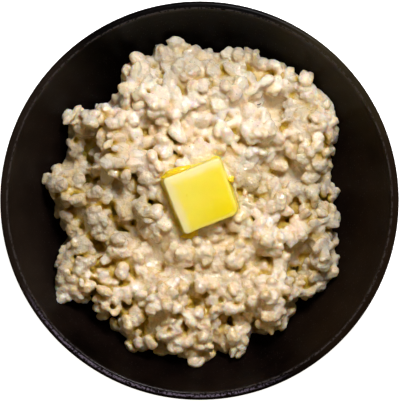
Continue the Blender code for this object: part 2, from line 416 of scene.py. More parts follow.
def bowlProfile():
    inside = []
    for radius in np.linspace(0.4 * mm, rimInside, 72):
        ring = bowl["throwingRings"] * math.sin(math.tau * radius / bowl["throwingPitch"])
        fade = ease(10 * mm, 30 * mm, radius)
        fade *= 1 - ease(rimInside - 9 * mm, rimInside, radius)
        inside.append((radius, wallHeight(radius) + ring * fade))
    innerCentre = (rimInside + bowl["rimInnerEdge"], rimTop - bowl["rimInnerEdge"])
    outerCentre = (bowl["radius"] - bowl["rimOuterEdge"], rimTop - bowl["rimOuterEdge"])
    rim = arcPoints(innerCentre, bowl["rimInnerEdge"], 180, 90, 6)[1:]
    rim += arcPoints(outerCentre, bowl["rimOuterEdge"], 90, -25, 12)
    footSide = bowl["footOuter"] + bowl["footEdge"]
    outside = [outerPoint(radius) for radius in np.linspace(rimInside - 1.5 * mm, footSide, 46)]
    under = bowl["insideFloor"] - bowl["wallAtFloor"]
    edge = bowl["footEdge"]
    foot = [(bowl["footOuter"] + 0.15 * mm, under + 0.1 * mm), (bowl["footOuter"], under * 0.6)]
    foot += arcPoints((bowl["footOuter"] - edge, edge), edge, 0, -90, 5)
    foot += arcPoints((bowl["footInner"] + edge, edge), edge, 270, 180, 5)
    foot += arcPoints((bowl["footInner"] - 1.2 * mm, under - 1.2 * mm), 1.2 * mm, 0, 90, 4)
    foot += [(radius, under) for radius in np.linspace(bowl["footInner"] * 0.8, 0.4 * mm, 8)]
    return inside + rim + outside + foot


def makeBowl():
    profile = bowlProfile()
    turns = bowl["turns"]
    bearings = np.arange(turns) * math.tau / turns
    ways = np.stack((np.cos(bearings), np.sin(bearings), 0 * bearings), 1)
    rings = [ways * radius + (0, 0, height) for radius, height in profile]
    middles = [(0, 0, profile[0][1]), (0, 0, profile[-1][1])]
    points = np.concatenate(rings + [middles])
    faces = [face[::-1] for face in ringFaces(len(rings), turns)]
    top, under = len(points) - 2, len(points) - 1
    last = top - turns
    for i in range(turns):
        after = (i + 1) % turns
        faces.append((top, i, after))
        faces.append((under, last + after, last + i))
    return meshPiece("stoneware_bowl", points, faces)


def sidewards(x, y, radius, bearing):
    # 1 towards this bearing, 0 square to it
    cosine, sine = heading(bearing)
    return maths("DIVIDE", spanned(x, cosine, times(y, sine)), radius)


def ringAt(radius, middle, inner, outer):
    # 1 on a ring round the bowl, falling to 0 on both sides of it
    return inverted(ramp(maths("ABSOLUTE", maths("SUBTRACT", radius, middle)), inner, outer))


def glazeMaterial():
    material, shader, where = newMaterial("black stoneware glaze")
    x, y, z = addNode(shader.id_data, "ShaderNodeSeparateXYZ", {0: where}).outputs
    radius = maths("SQRT", maths("ADD", times(x, x), times(y, y)))
    colour = mixColour(mottle(where, 38.0, 3.0), bowl["glazeDark"], bowl["glazeWarm"])
    streaks = spanned(mottle(where, 60.0, 2.0), 0.6, 0.5)
    # painted reflections as brown and olive sheens near the rim, and painted shade as near-black, each
    # on its own side of the wall
    for paint, bearing, width, start in bowl["paintedSheenAndShade"].values():
        side = ramp(sidewards(x, y, radius, bearing), start, 0.6 * start + 0.5)
        high = ramp(radius, rimInside - width, rimInside)
        colour = mixColour(times(side, high, streaks), colour, paint)
    # thin on the rim's inner edge, where the gritty clay shows through; this broken grey line is also a
    # painted highlight
    grit = speckle(where, *bowl["gritSpots"])
    high = ramp(z, rimTop - 2.2 * mm, rimTop - 0.6 * mm)
    edge = times(ringAt(radius, rimInside + 0.25 * mm, 0.1 * mm, 0.75 * mm), high)
    broken = maths("GREATER_THAN", noiseIn(where, 900.0), 0.47)
    colour = mixColour(times(grit, 0.35), colour, bowl["grit"])
    colour = mixColour(times(edge, broken, 0.7), colour, bowl["grit"])
    # a painted highlight, speckled lilac grey, on the rim across from the key light; bare clay under the
    # foot
    near = ramp(sidewards(x, y, radius, bowl["paintedRimHighlightSide"]), 0.66, 0.95)
    top = times(ringAt(radius, rimInside + 1.6 * mm, 0.2 * mm, 0.85 * mm), high)
    paintedRimHighlight = times(near, top, ramp(noiseIn(where, 1100.0), 0.42, 0.55))
    colour = mixColour(paintedRimHighlight, colour, bowl["paintedRimHighlight"])
    bare = inverted(ramp(z, 2.0 * mm, 2.6 * mm))
    grain = noiseIn(where, 420.0, 3.0, 0.65)
    coat = times(ramp(z, rimTop - 9 * mm, rimTop - 1 * mm), 0.03)
    setInputs(shader, {
        "Base Color": mixColour(bare, colour, bowl["clay"]),
        "Roughness": maths("MAXIMUM", spanned(grain, 0.2, 0.25), times(bare, 0.85)),
        "Coat Weight": maths("MAXIMUM", coat, times(edge, 0.25)),
        "Specular IOR Level": 0.03,
        "Coat Roughness": 0.2,
    })
    bumpInto(shader, maths("ADD", grain, times(grit, 0.3)), bowl["relief"])
    return material


dress(makeBowl(), glazeMaterial(), "stoneware", "bowl")
print("bowl turned and glazed")


# Barley grain: a plump oval with a crease down one side, in several shapes.
grain = {
    "length": 8.0 * mm,
    "width": 5.9 * mm,
    "height": 5.0 * mm,
    "creaseDepth": 0.34,
    "creaseWidth": 0.24,
    "shapes": 14,
    "lumpiness": 0.28,
    "nodules": 0.34,
    "taper": (0.04, 0.16),
    "creased": (0.3, 1.3),  # share of the crease's depth
    "bend": (-0.1, 0.12),
    "stretch": (0.88, 1.14),
}


def takenFrom(bm):
    # the points and faces of a bmesh, which is then freed
    points = np.array([vertex.co for vertex in bm.verts])
    faces = np.array([[vertex.index for vertex in face.verts] for face in bm.faces])
    bm.free()
    return points, faces


def roundTemplate(subdivisions):
    bm = bmesh.new()
    bmesh.ops.create_icosphere(bm, subdivisions=subdivisions, radius=1.0)
    return takenFrom(bm)


def grainShape(sphere, number):
    # x runs along the grain, and its crease is on +z
    rng = seeded(500 + number)
    x, y, z = sphere.T
    taper = 1 - rng.uniform(*grain["taper"]) * x
    crease = np.exp(-(y / grain["creaseWidth"]) ** 2) * ease(0.0, 0.5, z) * (1 - x ** 4)
    depth = grain["creaseDepth"] * rng.uniform(*grain["creased"])
    shaped = np.stack((x, y * taper, z * taper * (1 - depth * crease)), 1)
    shaped[:, 2] += rng.uniform(*grain["bend"]) * x ** 2
    nodules = curds(sphere + 0.2 * softNoise(sphere, 0.6, number)[:, None], 0.95, number + 20) - 0.6
    lumps = grain["lumpiness"] * softNoise(sphere, 0.75, number + 3)
    shaped *= 1 + (lumps + grain["nodules"] * nodules)[:, None]
    return shaped * np.array((grain["length"], grain["width"], grain["height"])) / 2


def turnsFrom(normals, rng, tilt):
    # a rotation for each grain: its height near the normal, its length any way round
    up = unit(normals + rng.normal(0, tilt, normals.shape))
    side = unit(np.cross(up, rng.normal(0, 1, normals.shape)))
    return np.stack((side, np.cross(up, side), up), axis=2)


def grainMesh(places, turns, sizes, subdivisions, seed):
    sphere, faces = roundTemplate(subdivisions)
    rng = seeded(seed)
    shapes = [grainShape(sphere, number) for number in range(grain["shapes"])]
    chosen = rng.integers(0, grain["shapes"], len(places))
    flips = np.where(rng.random(len(places)) < 0.5, -1.0, 1.0)
    stretch = rng.uniform(*grain["stretch"], (len(places), 3)) * sizes[:, None]
    grains = []
    for i, place in enumerate(places):
        shaped = shapes[chosen[i]] * stretch[i] * (1, flips[i], flips[i])
        grains.append(shaped @ turns[i].T + place)
    return joined(grains, faces)


# Butter: a cut pat, softened at its foot, leaning a little towards the lower right.
pat = {
    "length": 26.9 * mm,
    "farWidth": 27.6 * mm,
    "nearWidth": 26.7 * mm,
    "thickness": 8.5 * mm,
    "corners": (1.8 * mm, 1.7 * mm, 2.0 * mm, 4.0 * mm),
    "edge": 0.8 * mm,
    "footSpread": 0.9 * mm,
    "slid": (0, -0.7 * mm, 0),
    "crown": 0.5 * mm,
    # painted sheen on the top: paler towards the upper left, deeper yellow towards the lower right, and
    # pale as a painted highlight along the upper cut edges
    "sheenSideYellow": (0.995, 0.815, 0.11),
    "deep": (0.995, 0.765, 0.004),
    "pale": (0.995, 0.83, 0.42),
    "glow": (0.6, (1.0, 0.75, 0.2), 3.0 * mm, 1.45),  # share, reach of each colour, scale and index
    "relief": 0.08 * mm,
    "place": Vector((0.6 * mm, 3.0 * mm, 43.6 * mm)),
    "turn": 21.5,
    "lean": 4.0,
    "leanTowards": -45.0,
}
leanWay = Matrix.Rotation(math.radians(pat["leanTowards"]), 3, "Z") @ Vector((1, 0, 0))
leanAxis = Vector((0, 0, 1)).cross(leanWay)
butterPose = (
    Matrix.Translation(pat["place"])
    @ Matrix.Rotation(math.radians(pat["lean"]), 4, leanAxis)
    @ Matrix.Rotation(math.radians(pat["turn"]), 4, "Z")
)


def patRing(inset, height, cornerSteps=8, sideSteps=14):
    # points round the pat at this height, this far inside its plain sides
    corners = [max(corner - inset * 0.6, 0.8 * mm) for corner in pat["corners"]]
    centres = []
    for corner, sideX, sideY in zip(corners, (1, -1, -1, 1), (1, 1, -1, -1)):
        width = pat["farWidth"] if sideY > 0 else pat["nearWidth"]
        half = np.array((width / 2, pat["length"] / 2)) - inset - corner
        centres.append(half * (sideX, sideY))
    outline = []
    for quarter, centre in enumerate(centres):
        turned = arcPoints(centre, corners[quarter], 90 * quarter, 90 * quarter + 90, cornerSteps)
        outline += turned
        following = (quarter + 1) % 4
        start = np.array(turned[-1])
        way = np.array(heading(90 * quarter + 90))
        end = centres[following] + corners[following] * way
        outline += [tuple(start + (end - start) * step / sideSteps) for step in range(1, sideSteps)]
    return np.array([(x, y, height) for x, y in outline])


def besidePat(points):
    # how far outside the pat's plain sides each point lies; negative under the pat
    local = posed(points, butterPose.inverted())
    share = local[:, 1] / pat["length"] + 0.5
    half = (pat["nearWidth"] + (pat["farWidth"] - pat["nearWidth"]) * share) / 2
    off = np.stack((np.abs(local[:, 0]) - half, np.abs(local[:, 1]) - pat["length"] / 2), 1)
    return lengths(np.maximum(off, 0)) + np.minimum(off.max(axis=1), 0), local


# Porridge: barley in thick cream, over a core that follows the heap.
heap = {
    "steepest": -0.3,  # the lowest normal that carries grains
    "spacing": 4.8 * mm,
    "topInset": 1.6 * mm,
    "underInset": 3.4 * mm,
    "coreInset": 2.7 * mm,
    "coreUneven": 1.6 * mm,
    "unevenness": 0.9 * mm,
    "lumpSpacing": 13 * mm,
    "lumpHeight": 3.0 * mm,
    "lumpDome": 2.2 * mm,
    "valleyDepth": 6.4 * mm,
    "valleyWidth": 4.2 * mm,
    "clumpSpacing": 9.5 * mm,
    "clumpHeight": 2.0 * mm,
    "clumpGap": 3.2 * mm,
    "clumpValley": 3.2 * mm,
    "clumpPull": 0.26,
    "bend": (2.2 * mm, 7 * mm),  # how far the lumps' outlines wander, and over what distance
    "dipDepth": 1.8,
    "edgeRagged": 1.6 * mm,
    "smallGrains": 0.84,
    "grainSizes": ((0, 0.02, 0.08, 0.35, 1), (1.2, 1.08, 0.95, 0.78, 0.5)),  # first laid to last
    "grainRoom": 2.6 * mm,
    "coreRoom": 0.5 * mm,
    "swell": 1.04,
    "looseShare": 0.035,
    "looseSunk": 0.5 * mm,
    "calmed": 0.7,
    "roused": 0.45,
    "voxel": 0.4 * mm,
    "quickVoxel": 0.8 * mm,
    "triangles": 190000,
    "sliver": 0.002 * mm,
    "scrap": 200,  # faces
    "bowlRoom": 0.25 * mm,
    "creamRounds": 14,
    "creamFill": (0.62, 0.28),
    "creamSmooth": (0.07, 0.10),
    "curdSize": 3.1 * mm,
    "curdHeight": 0.6 * mm,
    "rays": 14,
    "rayReach": 7.0 * mm,
    "rayNear": 1.2 * mm,
    "coatedDepth": 0.14,
    "coatedPatch": 0.06,
    "shadeRounds": 3,
}
# where the porridge differs: middle and reach of each patch in millimetres
patches = {
    "calm": ((10, 33, 29), (4, -40, 18)),
    "wild": ((-46, 18, 26), (52, 6, 22), (-50, -30, 14)),
    "smooth": ((4, -32, 32), (47, 38, 15), (22, 5, 13)),
    "plump": ((6, 30, 32), (-30, 52, 18)),
    # wet: greyer, glossier areas, also placed to paint shade where the heap is darker
    "wetAndShaded": (
        (-58, 14, 28), (-60, -18, 18), (-14, 69, 17), (16, 68, 18), (58, 8, 18), (50, -34, 12),
        (-32, -4, 13), (24, 6, 12), (62, -16, 12), (44, 44, 10),
    ),
}
# extra dips between spoonfuls: bearing, distance, radius and depth; swellings have a negative depth
dips = (
    (154, 56, 8, 3.6), (165, 49, 7, 3.0), (176, 31, 7, 4.2), (207, 33, 8, 4.4), (52, 55, 6, 2.6),
    (74, 44, 6, 1.0), (111, 41, 5, 2.0), (146, 38, 5, 2.0), (22, 43, 6, 3.0), (12, 60, 8, 4.0),
    (356, 48, 8, 3.0), (314, 26, 6, 1.8), (327, 56, 8, 5.0), (232, 32, 6, 1.6), (190, 56, 6, 2.8),
    (226, 53, 6, 1.6), (268, 46, 6, 2.0), (25, 34, 7, 3.2), (286, 58, 4, 1.8), (172, 46, 15, 1.4),
    (105, 72, 7, 1.8), (124, 66, 7, 1.8), (50, 74, 6, 1.6), (4, 29, 7, 2.8), (22, 66, 6, 1.3),
    (162, 64, 5, 3.0), (178, 66, 5, 1.8), (72, 71, 6, 1.0), (90, 70, 6, 1.0), (314, 42, 7, 2.6),
    (169, 50, 4, 4.0), (151, 65, 5, 2.5), (61, 55, 5, 2.0), (29, 49, 6, 2.4), (20, 63, 6, 2.4),
    (166, 62, 7, 4.0), (243, 66, 8, -1.9), (270, 67, 7, -1.6), (299, 68, 8, -1.9), (216, 76, 6, -1.9),
    (285, 70, 8, -1.3), (94, 46, 9, -2.2), (270, 63, 5, -1.0), (45, 41, 8, -2.4), (334, 34, 7, -1.8),
    (214, 57, 9, -4.2), (251, 47, 9, -3.2), (303, 58, 9, -4.0), (270, 60, 8, -1.6), (199, 46, 6, -1.4),
    (216, 68, 6, -2.6), (228, 60, 7, -3.4), (251, 52, 7, -3.0), (135, 67, 9, 3.4), (10, 38, 8, 1.6),
    (237, 56, 6, 3.4), (47, 62, 8, 1.2), (243, 33, 6, 1.2), (297, 33, 5, 0.6), (195, 67, 7, 3.0),
    (305, 29.5, 6, -1.5), (172, 61, 9, 2.0), (2, 32, 5, 1.0), (124, 54, 8, -1.4), (63, 34, 7, -1.0),
    (117, 34, 7, -1.0), (153, 34, 6, -1.2), (354, 20, 3.5, 1.8), (253, 17.5, 3.5, 1.5),
    (74, 24.6, 3, 1.4),
)


def heapSurface():
    # the heap's triangles with smooth normals
    bm = bmesh.new()
    bm.from_mesh(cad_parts["porridge_heap"].data)
    bmesh.ops.remove_doubles(bm, verts=bm.verts, dist=0.01 * mm)
    bmesh.ops.triangulate(bm, faces=bm.faces)
    bm.normal_update()
    normals = np.array([vertex.normal for vertex in bm.verts])
    points, faces = takenFrom(bm)
    return points, normals, faces


def scatter(spacing, seed, candidates, unevenSizes=False):
    # random places on the heap, the big ones first, small ones in the gaps
    points, normals, faces = heapSurface()
    corners = points[faces]
    crossed = np.cross(corners[:, 1] - corners[:, 0], corners[:, 2] - corners[:, 0])
    area = lengths(crossed)
    outside, _ = besidePat(corners.mean(axis=1))
    area[(crossed[:, 2] / area < heap["steepest"]) | (outside < 0.5 * mm)] = 0
    rng = seeded(seed)
    picked = rng.choice(len(faces), candidates, p=area / area.sum())
    u, v = rng.random((2, candidates))
    over = u + v > 1
    u[over], v[over] = 1 - u[over], 1 - v[over]
    weights = np.stack((1 - u - v, u, v), 1)[:, :, None]
    places = (corners[picked] * weights).sum(axis=1)
    facing = unit((normals[faces][picked] * weights).sum(axis=1))
    sizes = np.ones(candidates)
    if unevenSizes:
        sizes = np.interp(np.arange(candidates) / candidates, *heap["grainSizes"])
        sizes *= 1 - (1 - heap["smallGrains"]) * (1 - patchesAt(places, "plump"))
    kept, cells = [], {}
    for i, place in enumerate(places):
        cell = tuple(int(c) for c in np.floor(place / spacing / 1.2))
        near = nearbyIn(cells, cell)
        gaps = [np.linalg.norm(places[j] - place) - spacing * (sizes[i] + sizes[j]) / 2 for j in near]
        if all(gap > 0 for gap in gaps):
            cells.setdefault(cell, []).append(i)
            kept.append(i)
    return places[kept], facing[kept], sizes[kept]


def nearbyIn(cells, cell):
    found = []
    for step in np.ndindex(3, 3, 3):
        found += cells.get(tuple(number + move - 1 for number, move in zip(cell, step)), ())
    return found


def clumpsOf(places):
    # small clumps of grains: their middles, each place's own clump and how far the next one is
    clumps, _, _ = scatter(heap["clumpSpacing"], 73, 9000)
    found = treeOf(clumps)
    nearest = [found.find_n(place, 2) for place in places]
    owner = np.array([first[1] for first, _ in nearest])
    gap = np.array([second[2] - first[2] for first, second in nearest])
    return clumps, owner, gap


def lumpRelief(places):
    # spoonfuls: how far each place stands up on one or lies down between two
    centres, _, _ = scatter(heap["lumpSpacing"], 71, 4000)
    heights = seeded(72).uniform(-1, 1, len(centres)) * heap["lumpHeight"]
    bend, bendSize = heap["bend"]
    bent = places + bend * wander(places, bendSize, 81, 82, 83)
    away = lengths(bent[:, None] - centres[None])
    order = np.argsort(away, axis=1)[:, :2]
    first, second = np.take_along_axis(away, order, 1).T
    creamy = creaminess(places)
    broken = ease(-0.35, 0.25, softNoise(places, 8 * mm, 84))
    valley = (1 - ease(0, heap["valleyWidth"], second - first)) * broken * (1 - 0.6 * creamy)
    dome = heap["lumpDome"] * (1 - (first / (0.62 * heap["lumpSpacing"])) ** 2).clip(-0.6, 1)
    relief = heights[order[:, 0]] + dome - heap["valleyDepth"] * valley
    clumps, owner, gap = clumpsOf(bent)
    steps = seeded(74).uniform(-1, 1, len(clumps)) * heap["clumpHeight"]
    broken = ease(-0.3, 0.3, softNoise(places, 9 * mm, 85))
    split = (1 - ease(0, heap["clumpGap"], gap)) * broken
    relief += (steps[owner] - heap["clumpValley"] * split) * (1.3 - creamy)
    outer = ease(50 * mm, 62 * mm, lengths(places[:, :2]))
    relief += heap["edgeRagged"] * softNoise(places, 4.5 * mm, 86) * outer
    calm = patchesAt(places, "calm")
    relief *= 1 - heap["calmed"] * calm + heap["roused"] * patchesAt(places, "wild") * (1 - calm)
    for bearing, distance, reach, depth in dips:
        x, y = [distance * mm * part for part in heading(bearing)]
        off = np.hypot(bent[:, 0] - x, bent[:, 1] - y)
        relief -= depth * heap["dipDepth"] * mm * np.exp(-(off / (0.85 * reach * mm)) ** 4)
    return relief


def patchesAt(points, kind):
    # 1 in the middle of such a patch, falling to 0 round it
    total = np.zeros(len(points))
    for x, y, reach in patches[kind]:
        off = (points[:, 0] - x * mm) ** 2 + (points[:, 1] - y * mm) ** 2
        total += np.exp(-off / (reach * mm) ** 2)
    return total.clip(0, 1)


def creaminess(points):
    # 1 where thick cream covers the barley, 0 where the grains stand free
    field = softNoise(points, 11 * mm, 5) + 0.5 * softNoise(points, 4 * mm, 6)
    return ease(-0.5, 0.7, field + 0.7 * patchesAt(points, "smooth") - 0.1)


def clearOfBowl(places, room):
    radius = lengths(places[:, :2])
    lifted = places.copy()
    lifted[:, 2] = np.maximum(places[:, 2], wallHeight(radius) + room)
    return lifted


def layGrains(inset, seed, tilt, candidates):
    places, facing, sizes = scatter(heap["spacing"], seed, candidates, True)
    rng = seeded(seed + 1)
    creamy = creaminess(places)
    rise = lumpRelief(places) + rng.normal(0, heap["unevenness"], len(places)) * (1 - 0.5 * creamy)
    rise -= (1 - sizes).clip(0, 1) * 1.2 * mm
    centres = places + facing * (rise - inset)[:, None]
    clumps, owner, _ = clumpsOf(places)
    pull = heap["clumpPull"] * (1 - 0.8 * creamy) * rng.uniform(0.5, 1.4, len(places))
    inwards = clumps[owner] - places
    inwards -= facing * (inwards * facing).sum(axis=1)[:, None]
    centres = clearOfBowl(centres + inwards * pull[:, None], heap["grainRoom"])
    return centres, turnsFrom(facing, rng, tilt), sizes


def makeCore():
    points, normals, faces = heapSurface()
    uneven = heap["coreUneven"] * (softNoise(points, 9 * mm, 15) - creaminess(points))
    inset = (heap["coreInset"] + (uneven - lumpRelief(points))) * ease(-0.6, 0.2, normals[:, 2])
    outside, local = besidePat(points)
    inset = np.where((outside < 1.2 * mm) & (local[:, 2] > -1 * mm), 0.5 * mm, inset)
    return clearOfBowl(points - normals * inset[:, None], heap["coreRoom"]), faces


def creamTogether(piece):
    # cream fills the narrow places between grains, more in some areas than in others
    mesh = piece.data
    points, edges = pointsOf(mesh), edgesOf(mesh)
    creamy = np.maximum(creaminess(points), 0.3 * patchesAt(points, "plump"))
    fill, smooth = [low + more * creamy for low, more in (heap["creamFill"], heap["creamSmooth"])]
    for _ in range(heap["creamRounds"]):
        normals = normalsOf(mesh)
        shift = neighbourMean(points, edges) - points
        hollow = (shift * normals).sum(axis=1)
        pull = np.where(hollow > 0, fill, smooth)
        points = points + shift * pull[:, None]
        movePoints(mesh, points)
    curdle(mesh, creamy)


def curdle(mesh, creamy):
    # small soft knobs, rough in some areas and faint in the plump ones
    points, edges, normals = pointsOf(mesh), edgesOf(mesh), normalsOf(mesh)
    bent = points + 0.5 * mm * wander(points, 2 * mm, 8, 9, 10)
    rough = ease(-0.7, 0.5, softNoise(points, 14 * mm, 12))
    rough *= 1 - 0.6 * patchesAt(points, "plump")
    lumpy = (curds(bent, heap["curdSize"], 1) - 0.6) * (0.3 + rough - 0.4 * creamy)
    fine = 0.6 * (curds(bent, 0.5 * heap["curdSize"], 2) - 0.6) * (0.4 + 0.6 * rough)
    shown = heap["curdHeight"] * ease(-0.6, -0.2, normals[:, 2])
    points = points + normals * ((lumpy + fine) * shown)[:, None]
    points += 0.25 * (neighbourMean(points, edges) - points)
    movePoints(mesh, clearOfBowl(points, heap["bowlRoom"]))


def closedIn(points, normals, tree):
    # how much the porridge round each point closes it in, from 0 to 1
    rng = seeded(24)
    rays = heap["rays"]
    reach = heap["rayReach"]
    starts = points + normals * 0.12 * mm
    total = np.zeros(len(points))
    for _ in range(rays):
        ways = unit(unit(rng.normal(0, 1, points.shape)) + normals * 1.02)
        met = [tree.ray_cast(start, way, reach)[3] for start, way in zip(starts.tolist(), ways.tolist())]
        away = np.array([reach if found is None else found for found in met])
        total += (1 - away / reach) * np.minimum(away / heap["rayNear"], 1)
    return total / rays


def shadesFor(points, crevice, tint):
    # red: each grain's tint, green: how closed in, which paints shade into the crevices, blue: melted
    # butter, alpha: thin wet areas, which also carry painted shade
    outside, _ = besidePat(points)
    # less painted shade in the plump patches
    crevice = crevice * (1 - 0.4 * patchesAt(points, "plump"))
    reach = 4.5 * mm + 3.5 * mm * softNoise(points, 5 * mm, 21)
    melt = (1 - ease(0.0, 1.0, outside / reach)) * (0.2 + 1.4 * crevice)
    wetAndShaded = patchesAt(points, "wetAndShaded") + 0.25 * softNoise(points, 6 * mm, 22)
    return np.stack((tint, crevice, melt, ease(0.15, 0.8, wetAndShaded)), 1)


top = layGrains(heap["topInset"], 11, 0.45, 18000)
under = layGrains(heap["underInset"], 31, 0.7, 9000)
looseField = softNoise(top[0], 14 * mm, 42)
loose = seeded(41).random(len(top[0])) < heap["looseShare"] * (1 + 0.7 * looseField)
print("grains laid:", len(top[0]), "on top,", loose.sum(), "of them loose,", len(under[0]), "below")


def looseScraps(bm):
    # the faces of every island that has fewer faces than a grain
    found, left = [], set(bm.faces)
    while left:
        island, waiting = [], [left.pop()]
        while waiting:
            face = waiting.pop()
            island.append(face)
            near = {other for corner in face.verts for other in corner.link_faces} & left
            left -= near
            waiting += near
        if len(island) < heap["scrap"]:
            found += island
    return found


def closeUp(piece):
    # one closed skin, without the slivers and folds that thinning leaves
    bm = bmesh.new()
    bm.from_mesh(piece.data)
    for _ in range(3):
        bmesh.ops.remove_doubles(bm, verts=bm.verts, dist=heap["sliver"])
        bmesh.ops.dissolve_degenerate(bm, dist=heap["sliver"], edges=bm.edges)
        folded = {face for edge in bm.edges if len(edge.link_faces) > 2 for face in edge.link_faces}
        bmesh.ops.delete(bm, geom=list(folded), context="FACES")
        bmesh.ops.delete(bm, geom=looseScraps(bm), context="FACES")
        bmesh.ops.holes_fill(bm, edges=[edge for edge in bm.edges if len(edge.link_faces) == 1], sides=0)
        bmesh.ops.triangulate(bm, faces=[face for face in bm.faces if len(face.verts) > 3])
    for parts, context in ((bm.edges, "EDGES"), (bm.verts, "VERTS")):
        bmesh.ops.delete(bm, geom=[part for part in parts if not part.link_faces], context=context)
    bmesh.ops.recalc_face_normals(bm, faces=bm.faces)
    bm.to_mesh(piece.data)
    bm.free()
    piece.data.shade_smooth()


def makeMass():
    corePoints, coreFaces = makeCore()
    places, turns, sizes = [np.concatenate((over[~loose], below)) for over, below in zip(top, under)]
    sizes = sizes * heap["swell"]
    points, faces, _ = grainMesh(places, turns, sizes, 2, 51)
    points = np.concatenate((corePoints, points))
    faces = np.concatenate((coreFaces, faces + len(corePoints)))
    piece = meshPiece("porridge_mass", points, faces)
    merge = piece.modifiers.new("merge", "REMESH")
    merge.mode = "VOXEL"
    merge.voxel_size = heap["voxel"]
    withModifiers(piece)
    creamTogether(piece)
    total = 2 * len(piece.data.polygons)
    if total > heap["triangles"]:
        thin = piece.modifiers.new("thin", "DECIMATE")
        thin.ratio = heap["triangles"] / total
        withModifiers(piece)
    closeUp(piece)
    return piece, places, turns[:, :, 2], sizes


massPiece, massPlaces, massFacing, massSizes = makeMass()
print("porridge merged:", len(massPiece.data.polygons), "faces")


def nearestGrain(points, places, seed):
    # the nearest grain's tint, and how far each point lies below that grain's top
    tints = seeded(seed).random(len(places))
    found = treeOf(places)
    owner = np.array([found.find(point)[1] for point in points])
    above = ((points - places[owner]) * massFacing[owner]).sum(axis=1)
    share = above / (massSizes[owner] * grain["height"] / 2)
    return tints[owner], 1 - ease(0.1, 0.9, share)


def makeLooseGrains():
    places, turns, sizes = [part[loose] for part in top]
    sunk = places - (0, 0, heap["looseSunk"])
    points, faces, owner = grainMesh(sunk, turns, sizes, 3, 61)
    piece = meshPiece("barley_grains", points, faces)
    curdle(piece.data, 0)
    tints = seeded(62).random(loose.sum())
    return piece, tints[owner]


loosePiece, looseTints = makeLooseGrains()
massPoints = pointsOf(massPiece.data)
massTints, massCoated = nearestGrain(massPoints, massPlaces, 52)
massFaces = [tuple(face.vertices) for face in massPiece.data.polygons]
around = BVHTree.FromPolygons(massPoints.tolist(), massFaces)
for piece, tints, coated in ((massPiece, massTints, massCoated), (loosePiece, looseTints, 0)):
    points = pointsOf(piece.data)
    # ray-cast closedness, which the material paints as shade in the crevices
    closed = closedIn(points, normalsOf(piece.data), around)
    for _ in range(heap["shadeRounds"]):
        closed = neighbourMean(closed[:, None], edgesOf(piece.data))[:, 0]
    creamy = creaminess(points)
    # thick cream raises the same value, so the tan it gives is cream colour where cream lies thick and
    # painted shade where points are closed in
    thick = heap["coatedDepth"] * np.maximum(coated, 0.45 * creamy) * (1 + 0.4 * creamy)
    thick += heap["coatedPatch"] * patchesAt(points, "smooth")
    storeShades(piece.data, shadesFor(points, np.maximum(closed, thick), tints))
print("grain shades stored")

barleyLook = {
    "cream": (0.952, 0.884, 0.81),
    "pink": (0.90, 0.76, 0.585),
    "green": (0.88, 0.81, 0.62),
    # matrix: the tan of thick cream, and painted shade in shallow crevices
    "matrix": (0.78, 0.565, 0.26),
    "thin": (0.72, 0.60, 0.40),
    # gold and the next three: painted shade in the crevices, darkest in the deepest
    "paintedShadeGold": (0.60, 0.40, 0.045),
    "paintedShadeBrown": (0.38, 0.20, 0.02),
    "paintedShadeOlive": (0.33, 0.23, 0.02),
    "paintedShadeDark": (0.16, 0.12, 0.02),
    # edge: the grey of wet grains, also painted shade on the heap's darker sides
    "edge": (0.45, 0.395, 0.26),
    "melt": (0.95, 0.72, 0.04),
    "bran": (0.16, 0.075, 0.03),
    "rust": (0.62, 0.20, 0.06),
    "branSpots": (420.0, 0.13, 0.16),
    "rustSpots": (310.0, 0.15, 0.06),
    "glow": (0.8, (1.0, 0.65, 0.28), 2.4 * mm, 1.5),
    "relief": 0.75 * mm,
}


def barleyMaterial():
    material, shader, where = newMaterial("creamed barley")
    tint, crevice, melted, wetAndShaded = shadesIn(shader.id_data)
    look = barleyLook
    tanned = spanned(mottle(where, 150.0, 2.0), 0.55, spanned(tint, -0.6, 0.5))
    # tan where cream lies thick, and painted shade in shallow crevices
    creamed = times(ramp(crevice, 0.03, 0.2), spanned(wetAndShaded, -0.15, 0.6))
    # painted shade colours for the deepest crevices
    deep = mixColour(mottle(where, 70.0, 4.0), look["paintedShadeBrown"], look["paintedShadeOlive"])
    colour = look["cream"]
    for share, paint in (
        (ramp(tanned, 0.0, 0.75), look["pink"]),
        (times(ramp(tint, 0.35, 0.9), 0.5), look["green"]),
        # grey of wet grains, partly painted shade on darker parts of the heap
        (times(wetAndShaded, 0.55), look["edge"]),
        (times(mottle(where, 600.0, 4.0), 0.12), look["thin"]),
        (times(speckle(where, *look["branSpots"]), 0.55), look["bran"]),
        (times(speckle(where, *look["rustSpots"]), 0.5), look["rust"]),
        (creamed, look["matrix"]),
        # painted shade: gold in the crevices, brown, olive and dark in the deepest ones
        (ramp(crevice, 0.14, 0.34), look["paintedShadeGold"]),
        (ramp(crevice, 0.32, 0.6), mixColour(wetAndShaded, deep, look["paintedShadeDark"])),
        (times(melted, 0.85), look["melt"]),
    ):
        colour = mixColour(share, colour, paint)
    rough = spanned(noiseIn(where, 500.0), 0.45, 0.05)
    sheen = ramp(noiseIn(where, 1300.0, 1.0), 0.48, 0.56)
    setInputs(shader, {
        "Base Color": colour,
        "Roughness": times(rough, spanned(wetAndShaded, -0.5, 1.0)),
        "Coat Weight": times(sheen, spanned(wetAndShaded, 0.3, 0.7)),
        "Specular IOR Level": 0.62,
        "Coat Roughness": 0.08,
    })
    letLightIn(shader, *look["glow"])
    rises = times(noiseIn(where, 560.0, 3.0, 0.6), spanned(wetAndShaded, 0.8, 1.0))
    bumpInto(shader, rises, look["relief"])
    return material


barleySurface = barleyMaterial()
dress(massPiece, barleySurface, "porridge", "porridge_heap")
dress(loosePiece, barleySurface, "porridge")


